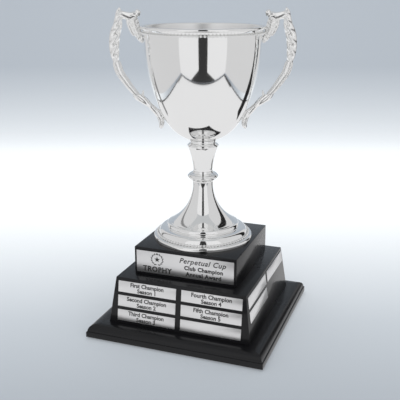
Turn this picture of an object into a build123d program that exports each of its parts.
"""Two-handled presentation cup, bolted to a three-tier perpetual base.

Frame: +Z up, +X to the right along the base's front, the front faces -Y.
The origin is the centre of the base at the surface it stands on. Millimetres.
"""

import os
from math import atan2, cos, hypot, radians, sin, sqrt

from build123d import *

os.makedirs("parts", exist_ok=True)

# ---- Base: feet and plinth ----
pad_height = 2.0
pad_radius = 8.0
pad_inset = 24.0            # from the plinth's edge to a pad's centre
plinth_side = 254.0
moulding_width = 16.0
moulding_band = 7.9         # upright band at the moulding's foot
moulding_step = 1.3         # small ledge above the band
moulding_round = 9.3        # height of the rounded part above the ledge
moulding_rise = 8.25        # how far the rounded part runs inwards
moulding_radius = 10.23     # radius of the rounded part

# ---- Base: sloped tier that carries the name plates ----
tier_bottom_side = 205.0
tier_top_side = 188.0
tier_height = 65.2
tier_wall = 9.0
tier_lid = 6.0

# ---- Base: riser under the cup ----
riser_side = 148.6
riser_height = 40.4
riser_wall = 9.0
riser_lid = 6.0

# ---- Base: glue blocks and wood screws ----
block_side = 16.0
block_gap = 1.0             # between a block's top and the lid above it
screw_core = 1.5
screw_head = 3.5
riser_screw_length = 22.0
tier_screw_length = 45.0

# ---- Plates ----
plate_thickness = 1.0
name_plate_length = 86.0
name_plate_height = 16.0
name_column_gap = 7.6
name_row_gap = 4.5
header_length = 142.0
header_height = 32.0

# ---- Cup: foot, knop, stem, collar ----
cup_turn = 20.0             # the cup is bolted on turned by this angle about Z
foot_height = 82.0
foot_radius = 70.5
foot_lip = 3.0              # upright edge of the foot
foot_lip_radius = 6.0       # rounding above the upright edge
foot_seat_height = 6.4      # ledge that the beaded wire is soldered to
foot_bead_radius = 1.5
foot_bead_inset = 4.9       # from the foot's edge to the wire's circle
foot_ledge_spare = 1.0      # ledge left showing outside the wire's circle
foot_bead_sink = 0.2        # how far the wire is pressed into the corner of the roll
foot_roll_width = 11.6      # broad roll inside the wire
foot_roll_top = 17.0
foot_roll_radius = 13.0
foot_step_width = 2.0       # small step between the two rolls
foot_step_rise = 0.4
foot_small_roll_width = 3.5
foot_small_roll_radius = 5.5
foot_mould_height = 24.0    # where the mouldings end and the trumpet starts
foot_neck_radius = 14.6
foot_neck_height = 4.0      # straight neck on top of the trumpet
foot_trumpet_radius = 63.6  # radius of the trumpet's hollow curve
foot_wall = 1.6
foot_crown = 2.0            # extra metal under the neck
foot_hem_width = 3.0        # slope inside the bottom edge
foot_hem_height = 4.0
knop_height = 16.0
knop_radius = 21.9
knop_middle = 8.0           # height of the knop's widest line
knop_low_step = 0.7         # how far the lower cove stands out from the foot's neck
knop_low_height = 2.4
knop_high_step = 2.8        # how far the upper cove stands out from the stem's foot
knop_high_height = 12.0
knop_neck_step = 0.4
knop_neck_height = 13.4
knop_low_radius = 16.0      # rounding below the widest line
knop_high_radius = 14.0     # rounding above it
stem_height = 40.0
stem_top_radius = 22.0
stem_foot_radius = 13.7
stem_shoulder = 3.6         # height of the chamfer at the stem's top
stem_hollow_radius = 110.0  # radius of the stem's hollow side
collar_height = 3.2
collar_radius = 18.4

# ---- Cup: bowl ----
bowl_height = 156.8
bowl_rim_radius = 79.7
bowl_base_radius = 60.0     # radius of the round bottom
bowl_seat_radius = 12.0
bowl_wall = 1.2
lip_flare = 2.8
lip_flare_height = 14.0
lip_radius = 2.2
rim_bead_radius = 1.4
rim_bead_drop = 9.5         # from the rim down to the beaded wire

# ---- Cup: handles ----
scroll_depth = 7.0          # half thickness of the leafed upper part
arm_depth = 5.2             # half thickness of the ribbed arm
leaf_depth = 4.6            # half thickness of the leaf cluster under the arm
tail_depth = 3.8            # half thickness of the thin tail
handle_gap = 0.05           # between a handle and the bowl it is fixed to
bar_step = 0.02             # by how much a bar's first end is thinner than the bar before
upper_screw_drop = 15.5     # from the rim down to the upper screws
lower_screw_angle = 28.0    # of the lower screws, below level from the bottom's centre
handle_screw_core = 1.5
handle_screw_head = 3.0
handle_screw_head_height = 1.8
handle_screw_bite = 4.6     # how far a screw runs past the bowl's wall
handle_washer_radius = 4.2
handle_washer_thickness = 0.8

# ---- Tie rod and its nuts ----
rod_radius = 4.0
rod_clearance = 0.25
rod_end = 1.5               # rod left showing below the base nut
washer_radius = 10.0
washer_thickness = 1.6
nut_across_flats = 13.0
nut_height = 6.5
dome_height = 6.0
dome_wall = 2.0
recess_radius = 13.0
recess_spare = 2.0          # from the rod's end to the plinth's underside

# ---- Heights that follow ----
plinth_bottom = pad_height
plinth_height = moulding_band + moulding_round
tier_bottom = plinth_bottom + plinth_height
riser_bottom = tier_bottom + tier_height
cup_bottom = riser_bottom + riser_height
knop_bottom = cup_bottom + foot_height
stem_bottom = knop_bottom + knop_height
collar_bottom = stem_bottom + stem_height
bowl_bottom = collar_bottom + collar_height
rim_height = bowl_bottom + bowl_height
recess_depth = recess_spare + rod_end + nut_height + washer_thickness
rod_hole = rod_radius + rod_clearance

UP = Vector(0, 0, 1)
cup_plane = Plane(
    origin=(0, 0, 0),
    x_dir=(cos(radians(cup_turn)), sin(radians(cup_turn)), 0),
    z_dir=(sin(radians(cup_turn)), -cos(radians(cup_turn)), 0),
)
sides = {
    "front": Vector(0, -1, 0),
    "right": Vector(1, 0, 0),
    "back": Vector(0, 1, 0),
    "left": Vector(-1, 0, 0),
}


def keep(piece, node):
    """Label a finished piece and write it out."""
    piece.part.label = node
    export_step(piece.part, f"parts/{node}.step")


def side_section(outward):
    """Upright plane through the base's centre: x runs outwards, y up."""
    return Plane(origin=(0, 0, 0), x_dir=outward, z_dir=outward.cross(UP))


def mitre(outward):
    """Cut both ends of a side piece at 45 degrees, towards the centre."""
    along = outward.cross(UP)
    for end in (along, along * -1):
        split(bisect_by=Plane(origin=(0, 0, 0), z_dir=end - outward), keep=Keep.BOTTOM)


# ---- Rubber feet: four round pads under the plinth's corners ----
pad_spacing = plinth_side - 2 * pad_inset
with BuildPart() as rubber_feet:
    with BuildSketch(Plane.XY):
        with GridLocations(pad_spacing, pad_spacing, 2, 2):
            Circle(pad_radius)
    extrude(amount=pad_height)
keep(rubber_feet, "rubber_feet")

# ---- Plinth board: the core that everything is screwed and bolted to ----
board_side = plinth_side - 2 * moulding_width
riser_block_centre = riser_side / 2 - riser_wall - block_side / 2
tier_slope = (tier_bottom_side - tier_top_side) / 2 / tier_height
tier_lid_bottom = riser_bottom - tier_lid
tier_half_under_lid = tier_top_side / 2 + tier_slope * tier_lid
tier_block_centre = tier_half_under_lid - tier_wall - block_side / 2
with BuildPart() as plinth_board:
    with BuildSketch(Plane.XY.offset(plinth_bottom)):
        Rectangle(board_side, board_side)
    extrude(amount=plinth_height)
    with Locations(Plane.XY.offset(plinth_bottom).rotated((180, 0, 0))):
        CounterBoreHole(rod_hole, recess_radius, recess_depth)
        with GridLocations(2 * tier_block_centre, 2 * tier_block_centre, 2, 2):
            CounterSinkHole(screw_core, screw_head, counter_sink_angle=90)
keep(plinth_board, "plinth_board")

# ---- Plinth mouldings: four mitred strips glued around the board ----
for side, outward in sides.items():
    with BuildPart() as moulding:
        with BuildSketch(side_section(outward)):
            with BuildLine():
                inner = board_side / 2
                outer = plinth_side / 2
                ledge = (outer - moulding_step, plinth_bottom + moulding_band)
                crest = (outer - moulding_rise, tier_bottom)
                Polyline(
                    crest,
                    (inner, tier_bottom),
                    (inner, plinth_bottom),
                    (outer, plinth_bottom),
                    (outer, plinth_bottom + moulding_band),
                    ledge,
                )
                RadiusArc(ledge, crest, -moulding_radius)
            make_face()
        extrude(amount=plinth_side / 2, both=True)
        mitre(outward)
    keep(moulding, f"plinth_moulding_{side}")

# ---- Tier: four sloped, mitred panels under a lid ----
for side, outward in sides.items():
    with BuildPart() as tier_panel:
        with BuildSketch(side_section(outward)):
            with BuildLine():
                Polyline(
                    (tier_bottom_side / 2, tier_bottom),
                    (tier_half_under_lid, tier_lid_bottom),
                    (tier_half_under_lid - tier_wall, tier_lid_bottom),
                    (tier_bottom_side / 2 - tier_wall, tier_bottom),
                    close=True,
                )
            make_face()
        extrude(amount=tier_bottom_side / 2, both=True)
        mitre(outward)
    keep(tier_panel, f"tier_panel_{side}")

with BuildPart() as tier_top:
    with BuildSketch(Plane.XY.offset(tier_lid_bottom)):
        Rectangle(2 * tier_half_under_lid, 2 * tier_half_under_lid)
    with BuildSketch(Plane.XY.offset(riser_bottom)):
        Rectangle(tier_top_side, tier_top_side)
    loft()
    with Locations(Plane.XY.offset(tier_lid_bottom).rotated((180, 0, 0))):
        Hole(rod_hole)
        with GridLocations(2 * riser_block_centre, 2 * riser_block_centre, 2, 2):
            CounterSinkHole(screw_core, screw_head, counter_sink_angle=90)
keep(tier_top, "tier_top")

# ---- Riser: four upright, mitred panels under a lid ----
riser_lid_bottom = cup_bottom - riser_lid
for side, outward in sides.items():
    with BuildPart() as riser_panel:
        with BuildSketch(side_section(outward)):
            with Locations((riser_side / 2, riser_bottom)):
                Rectangle(riser_wall, riser_lid_bottom - riser_bottom, align=(Align.MAX, Align.MIN))
        extrude(amount=riser_side / 2, both=True)
        mitre(outward)
    keep(riser_panel, f"riser_panel_{side}")

with BuildPart() as riser_top:
    with BuildSketch(Plane.XY.offset(riser_lid_bottom)):
        Rectangle(riser_side, riser_side)
    extrude(amount=riser_lid)
    with Locations(Plane.XY.offset(cup_bottom)):
        Hole(rod_hole)
keep(riser_top, "riser_top")

# ---- Glue blocks in the corners, and the wood screws that pull them down ----
with BuildPart() as riser_corner_blocks:
    with BuildSketch(Plane.XY.offset(riser_bottom)):
        with GridLocations(2 * riser_block_centre, 2 * riser_block_centre, 2, 2):
            Rectangle(block_side, block_side)
    extrude(amount=riser_lid_bottom - block_gap - riser_bottom)
    with Locations(Plane.XY.offset(riser_bottom)):
        with GridLocations(2 * riser_block_centre, 2 * riser_block_centre, 2, 2):
            Hole(screw_core)
keep(riser_corner_blocks, "riser_corner_blocks")

with BuildPart() as tier_corner_blocks:
    with BuildSketch(Plane.XY.offset(tier_bottom)):
        with GridLocations(2 * tier_block_centre, 2 * tier_block_centre, 2, 2):
            Rectangle(block_side, block_side)
    extrude(amount=tier_lid_bottom - block_gap - tier_bottom)
    with Locations(Plane.XY.offset(tier_bottom)):
        with GridLocations(2 * tier_block_centre, 2 * tier_block_centre, 2, 2):
            Hole(screw_core)
keep(tier_corner_blocks, "tier_corner_blocks")


def wood_screws(head_height, length, centre):
    """Four countersunk screws pointing up, their heads flush at head_height."""
    with BuildPart() as screws:
        with BuildSketch(Plane.XY.offset(head_height)):
            with GridLocations(2 * centre, 2 * centre, 2, 2):
                Circle(screw_core)
        extrude(amount=length)
        with Locations(Plane.XY.offset(head_height)):
            with GridLocations(2 * centre, 2 * centre, 2, 2):
                Cone(
                    screw_head,
                    screw_core,
                    screw_head - screw_core,
                    align=(Align.CENTER, Align.CENTER, Align.MIN),
                )
    return screws


keep(wood_screws(tier_lid_bottom, riser_screw_length, riser_block_centre), "riser_screws")
keep(wood_screws(plinth_bottom, tier_screw_length, tier_block_centre), "tier_screws")

# ---- Header plate on the riser's front ----
with BuildPart() as header_plate:
    with BuildSketch(Plane.XZ.offset(riser_side / 2)):
        with Locations((0, riser_bottom + riser_height / 2)):
            Rectangle(header_length, header_height)
    extrude(amount=plate_thickness)
keep(header_plate, "header_plate")


def slope_plane(outward):
    """Plane on a sloped side: x to the right as seen from outside, y up the slope."""
    middle = outward * ((tier_bottom_side + tier_top_side) / 4) + UP * (tier_bottom + tier_height / 2)
    return Plane(origin=middle, x_dir=UP.cross(outward), z_dir=outward + UP * tier_slope)


def name_plate(outward, column, row):
    """One plate of a two-column, three-row grid. Column 0 is left, row 0 is the top."""
    x = (column - 0.5) * (name_plate_length + name_column_gap)
    y = (1 - row) * (name_plate_height + name_row_gap)
    with BuildPart() as plate:
        with BuildSketch(slope_plane(outward)):
            with Locations((x, y)):
                Rectangle(name_plate_length, name_plate_height)
        extrude(amount=plate_thickness)
    return plate


# ---- Name plates: six on the front, read down the columns, and three on the right ----
front_places = [(column, row) for column in (0, 1) for row in (0, 1, 2)]
right_places = [(0, 0), (0, 1), (1, 0)]
for number, (column, row) in enumerate(front_places, 1):
    keep(name_plate(sides["front"], column, row), f"name_plate_front_{number}")
for number, (column, row) in enumerate(right_places, 1):
    keep(name_plate(sides["right"], column, row), f"name_plate_right_{number}")

# ---- Foot: spun trumpet with stepped mouldings, open underneath ----
foot_bead_circle = foot_radius - foot_bead_inset
seat_level = cup_bottom + foot_seat_height
roll_edge = foot_bead_circle - foot_bead_radius
roll_inside = roll_edge - foot_roll_width
step_inside = roll_inside - foot_step_width
trumpet_radius = step_inside - foot_small_roll_width
trumpet_top = knop_bottom - foot_neck_height
trumpet_bottom = cup_bottom + foot_mould_height
with BuildPart() as foot:
    with BuildSketch(Plane.XZ):
        with BuildLine():
            lip_top = (foot_radius, cup_bottom + foot_lip)
            ledge_outside = (foot_bead_circle + foot_ledge_spare, seat_level)
            roll_foot = (roll_edge, seat_level)
            roll_top = (roll_inside, cup_bottom + foot_roll_top)
            step_top = (step_inside, cup_bottom + foot_roll_top + foot_step_rise)
            trumpet_foot = (trumpet_radius, trumpet_bottom)
            neck_foot = (foot_neck_radius, trumpet_top)
            Polyline(
                neck_foot,
                (foot_neck_radius, knop_bottom),
                (rod_hole, knop_bottom),
                (rod_hole, cup_bottom),
                (foot_radius, cup_bottom),
                lip_top,
            )
            # Lip, ledge for the wire, broad roll, small roll, then the trumpet
            RadiusArc(lip_top, ledge_outside, -foot_lip_radius)
            Line(ledge_outside, roll_foot)
            RadiusArc(roll_foot, roll_top, -foot_roll_radius)
            Line(roll_top, step_top)
            RadiusArc(step_top, trumpet_foot, -foot_small_roll_radius)
            RadiusArc(trumpet_foot, neck_foot, foot_trumpet_radius)
        make_face()
    revolve(axis=Axis.Z)
    with BuildSketch(Plane.XZ):
        with BuildLine():
            hollow_top = (foot_neck_radius - foot_wall, trumpet_top - foot_crown)
            hollow_waist = (trumpet_radius - foot_wall, trumpet_bottom - 2 * foot_wall)
            Polyline(
                hollow_top,
                (0, trumpet_top - foot_crown),
                (0, cup_bottom),
                (foot_bead_circle, cup_bottom),
                (foot_bead_circle - foot_hem_width, cup_bottom + foot_hem_height),
                hollow_waist,
            )
            RadiusArc(hollow_waist, hollow_top, foot_trumpet_radius + foot_wall)
        make_face()
    revolve(axis=Axis.Z, mode=Mode.SUBTRACT)
keep(foot, "foot")

with BuildPart() as foot_bead_ring:
    with BuildSketch(Plane.XZ):
        with Locations((foot_bead_circle - foot_bead_sink, seat_level + foot_bead_radius)):
            Circle(foot_bead_radius)
    revolve(axis=Axis.Z)
keep(foot_bead_ring, "foot_bead_ring")

# ---- Knop: turned ring between the foot and the stem ----
with BuildPart() as stem_knop:
    with BuildSketch(Plane.XZ):
        with BuildLine():
            low_cove = (foot_neck_radius + knop_low_step, knop_bottom + knop_low_height)
            high_cove = (stem_foot_radius + knop_high_step, knop_bottom + knop_high_height)
            widest = (knop_radius, knop_bottom + knop_middle)
            Polyline(
                low_cove,
                (foot_neck_radius, knop_bottom),
                (rod_hole, knop_bottom),
                (rod_hole, stem_bottom),
                (stem_foot_radius, stem_bottom),
                (stem_foot_radius + knop_neck_step, knop_bottom + knop_neck_height),
                high_cove,
            )
            RadiusArc(high_cove, widest, knop_high_radius)
            RadiusArc(widest, low_cove, knop_low_radius)
        make_face()
    revolve(axis=Axis.Z)
keep(stem_knop, "stem_knop")

# ---- Upper stem: hollow-sided cone, wide end up ----
with BuildPart() as upper_stem:
    with BuildSketch(Plane.XZ):
        with BuildLine():
            shoulder = (stem_top_radius, collar_bottom - stem_shoulder)
            Polyline(
                shoulder,
                (collar_radius, collar_bottom),
                (rod_hole, collar_bottom),
                (rod_hole, stem_bottom),
                (stem_foot_radius, stem_bottom),
            )
            RadiusArc((stem_foot_radius, stem_bottom), shoulder, stem_hollow_radius)
        make_face()
    revolve(axis=Axis.Z)
keep(upper_stem, "upper_stem")


# ---- Bowl: spun shell whose side arc runs tangent into a round bottom ----
base_centre_height = bowl_bottom + sqrt(bowl_base_radius**2 - bowl_seat_radius**2)
flare_start = rim_height - lip_flare_height
side_rise = flare_start - base_centre_height
side_radius = (bowl_rim_radius**2 + side_rise**2 - bowl_base_radius**2) / (
    2 * (bowl_rim_radius - bowl_base_radius)
)
tangent_angle = atan2(side_rise, side_radius - bowl_rim_radius)
lip_centre = (bowl_rim_radius + lip_flare, rim_height - lip_radius)


def bowl_side(height):
    """Outer radius of the bowl's wall at a height, upright above the flare's start."""
    if height > base_centre_height - bowl_base_radius * sin(tangent_angle):
        drop = max(flare_start - height, 0)
        return bowl_rim_radius - side_radius + sqrt(side_radius**2 - drop**2)
    return sqrt(bowl_base_radius**2 - (base_centre_height - height) ** 2)


def bowl_outline(inset):
    """The bowl's half outline, moved inwards by inset, as far as the flare."""
    radius = bowl_base_radius - inset
    floor = bowl_bottom + inset
    floor_radius = sqrt(radius**2 - (base_centre_height - floor) ** 2)
    tangent = (radius * cos(tangent_angle), base_centre_height - radius * sin(tangent_angle))
    shoulder = (bowl_rim_radius - inset, flare_start)
    Line((0, floor), (floor_radius, floor))
    RadiusArc((floor_radius, floor), tangent, -radius)
    RadiusArc(tangent, shoulder, inset - side_radius)
    rim = (lip_centre[0] - inset, lip_centre[1])
    Line(shoulder, rim)
    Polyline(rim, (0, lip_centre[1]), (0, floor))


def bowl_screw_spots(*hands):
    """Planes on the bowl's inner wall at the handle screws, each facing outwards."""
    spots = []
    for hand in hands or (-1, 1):
        across = cup_plane.x_dir * hand
        height = rim_height - upper_screw_drop
        wall_radius = bowl_rim_radius - side_radius + sqrt(
            (side_radius - bowl_wall) ** 2 - (flare_start - height) ** 2
        )
        spots.append(Plane(origin=across * wall_radius + UP * height, z_dir=across))
        slant = across * cos(radians(lower_screw_angle)) - UP * sin(radians(lower_screw_angle))
        centre = UP * base_centre_height
        spots.append(Plane(origin=centre + slant * (bowl_base_radius - bowl_wall), z_dir=slant))
    return spots


# A flat washer on the curved wall touches it only at its edge
washer_stand_off = bowl_base_radius - sqrt(bowl_base_radius**2 - handle_washer_radius**2)

with BuildPart() as bowl:
    with BuildSketch(Plane.XZ):
        with BuildLine():
            bowl_outline(0)
        make_face()
        with BuildLine():
            bowl_outline(bowl_wall)
        make_face(mode=Mode.SUBTRACT)
        with Locations(lip_centre):
            Circle(lip_radius)
    revolve(axis=Axis.Z)
    for spot in bowl_screw_spots():
        with Locations(spot):
            Cylinder(handle_screw_core + handle_gap, 4 * bowl_wall, mode=Mode.SUBTRACT)
    with Locations(Plane.XY.offset(bowl_bottom + bowl_wall)):
        Hole(rod_hole)
keep(bowl, "bowl")

# ---- Beaded wire soldered under the rim ----
flare_slope = lip_flare / (lip_flare_height - lip_radius)
rim_bead_height = rim_height - rim_bead_drop
rim_bead_circle = (
    bowl_rim_radius
    + flare_slope * (rim_bead_height - flare_start)
    + rim_bead_radius * hypot(1, flare_slope)
    + handle_gap
)
with BuildPart() as rim_bead_ring:
    with BuildSketch(Plane.XZ):
        with Locations((rim_bead_circle, rim_bead_height)):
            Circle(rim_bead_radius)
    revolve(axis=Axis.Z)
keep(rim_bead_ring, "rim_bead_ring")

# ---- Collar: dished ring that the round bottom of the bowl sits in ----
collar_top = base_centre_height - sqrt(bowl_base_radius**2 - collar_radius**2)
with BuildPart() as bowl_collar:
    with BuildSketch(Plane.XY.offset(collar_bottom)):
        Circle(collar_radius)
    extrude(amount=collar_top - collar_bottom)
    with BuildSketch(Plane.XZ):
        with BuildLine():
            bowl_outline(0)
        make_face()
    revolve(axis=Axis.Z, mode=Mode.SUBTRACT)
    with Locations(Plane.XY.offset(collar_top)):
        Hole(rod_hole)
keep(bowl_collar, "bowl_collar")

# ---- Handles: cast S-scrolls, each point given as (out, rise, half width) ----
# Out is measured from the bowl's wall at that height, and rise is 0 at the
# lower screw and 1 at the rim.
lug_points = [(0.27, 0.83, 3.5), (6.26, 0.92, 6.0), (11.43, 1.02, 6.5), (9.17, 1.10, 5.0)]
bar_points = [(9.17, 1.10, 5.0), (19.34, 1.095, 5.5), (30.17, 1.10, 6.0), (34.81, 1.18, 1.6)]
scroll_points = [
    (30.17, 1.10, 6.0), (34.34, 1.05, 6.2), (39.53, 0.945, 7.4), (42.5, 0.79, 7.0), (42.92, 0.67, 6.6),
]
arm_points = [
    (42.92, 0.67, 6.6), (40.22, 0.59, 6.0), (38.32, 0.49, 5.3), (31.63, 0.40, 5.1), (25.02, 0.28, 3.9),
]
leaf_points = [(23.99, 0.275, 3.4), (17.6, 0.21, 6.0), (11.87, 0.16, 3.2)]
tail_points = [(12.55, 0.165, 2.7), (5.42, 0.06, 3.2), (4.7, 0.0, 3.6), (8.78, -0.06, 3.0), (13.2, -0.1, 2.4)]
lower_screw_height = base_centre_height - bowl_base_radius * sin(radians(lower_screw_angle))


def handle_run(points, depth):
    """A run of the handle: neighbouring points joined by tapered bars of one thickness."""
    with BuildSketch(cup_plane) as run:
        for pair in zip(points, points[1:]):
            with BuildSketch(mode=Mode.PRIVATE) as bar:
                for (out, rise, half_width), less in zip(pair, (bar_step, 0)):
                    height = lower_screw_height + (rim_height - lower_screw_height) * rise
                    with Locations((bowl_side(height) + out, height)):
                        Circle(half_width - less)
                make_hull()
            add(bar.sketch)
    extrude(run.sketch, amount=depth, both=True)


with BuildPart() as handle_right:
    handle_run(lug_points, arm_depth)
    handle_run(bar_points, arm_depth)
    handle_run(scroll_points, scroll_depth)
    handle_run(arm_points, arm_depth)
    handle_run(leaf_points, leaf_depth)
    handle_run(tail_points, tail_depth)
    with BuildSketch(Plane.XZ):
        with BuildLine():
            bowl_outline(-handle_gap)
        make_face()
        with Locations(lip_centre):
            Circle(lip_radius + handle_gap)
        with Locations((rim_bead_circle, rim_bead_height)):
            Circle(rim_bead_radius + handle_gap)
    revolve(axis=Axis.Z, mode=Mode.SUBTRACT)
    for spot in bowl_screw_spots(1):
        with Locations(spot):
            Cylinder(handle_screw_core, 2 * (bowl_wall + handle_screw_bite), mode=Mode.SUBTRACT)
keep(handle_right, "handle_right")

with BuildPart() as handle_left:
    mirror(handle_right.part, about=Plane(origin=(0, 0, 0), z_dir=cup_plane.x_dir))
keep(handle_left, "handle_left")

# ---- Handle screws and washers, put in from inside the bowl ----
with BuildPart() as handle_washers:
    for spot in bowl_screw_spots():
        with BuildSketch(spot.offset(-washer_stand_off)):
            Circle(handle_washer_radius)
            Circle(handle_screw_core, mode=Mode.SUBTRACT)
        extrude(amount=-handle_washer_thickness)
keep(handle_washers, "handle_washers")

with BuildPart() as handle_screws:
    for spot in bowl_screw_spots():
        seat = spot.offset(-washer_stand_off - handle_washer_thickness)
        with BuildSketch(seat):
            Circle(handle_screw_core)
        extrude(amount=washer_stand_off + handle_washer_thickness + bowl_wall + handle_screw_bite)
        with BuildSketch(seat):
            Circle(handle_screw_head)
        extrude(amount=-handle_screw_head_height)
keep(handle_screws, "handle_screws")

# ---- Tie rod from the bowl's floor to the recess under the plinth ----
rod_bottom = plinth_bottom + recess_spare
bowl_floor = bowl_bottom + bowl_wall
dome_nut_bottom = bowl_floor + washer_thickness
base_nut_bottom = rod_bottom + rod_end
with BuildPart() as tie_rod:
    with BuildSketch(Plane.XY.offset(rod_bottom)):
        Circle(rod_radius)
    extrude(amount=dome_nut_bottom + nut_height - rod_bottom)
keep(tie_rod, "tie_rod")

with BuildPart() as bowl_washer:
    with BuildSketch(Plane.XY.offset(bowl_floor)):
        Circle(washer_radius)
        Circle(rod_radius, mode=Mode.SUBTRACT)
    extrude(amount=washer_thickness)
keep(bowl_washer, "bowl_washer")

with BuildPart() as dome_nut:
    with BuildSketch(Plane.XY.offset(dome_nut_bottom)):
        RegularPolygon(nut_across_flats / 2, 6, major_radius=False)
        Circle(rod_radius, mode=Mode.SUBTRACT)
    extrude(amount=nut_height)
    with BuildSketch(Plane.XZ):
        with BuildLine():
            cap_bottom = dome_nut_bottom + nut_height
            Polyline((0, cap_bottom + dome_height), (0, cap_bottom), (rod_radius + dome_wall, cap_bottom))
            ThreePointArc(
                (rod_radius + dome_wall, cap_bottom),
                ((rod_radius + dome_wall) * cos(radians(45)), cap_bottom + dome_height * sin(radians(45))),
                (0, cap_bottom + dome_height),
            )
        make_face()
    revolve(axis=Axis.Z)
keep(dome_nut, "dome_nut")

with BuildPart() as base_washer:
    with BuildSketch(Plane.XY.offset(base_nut_bottom + nut_height)):
        Circle(washer_radius)
        Circle(rod_radius, mode=Mode.SUBTRACT)
    extrude(amount=washer_thickness)
keep(base_washer, "base_washer")

with BuildPart() as base_nut:
    with BuildSketch(Plane.XY.offset(base_nut_bottom)):
        RegularPolygon(nut_across_flats / 2, 6, major_radius=False)
        Circle(rod_radius, mode=Mode.SUBTRACT)
    extrude(amount=nut_height)
keep(base_nut, "base_nut")
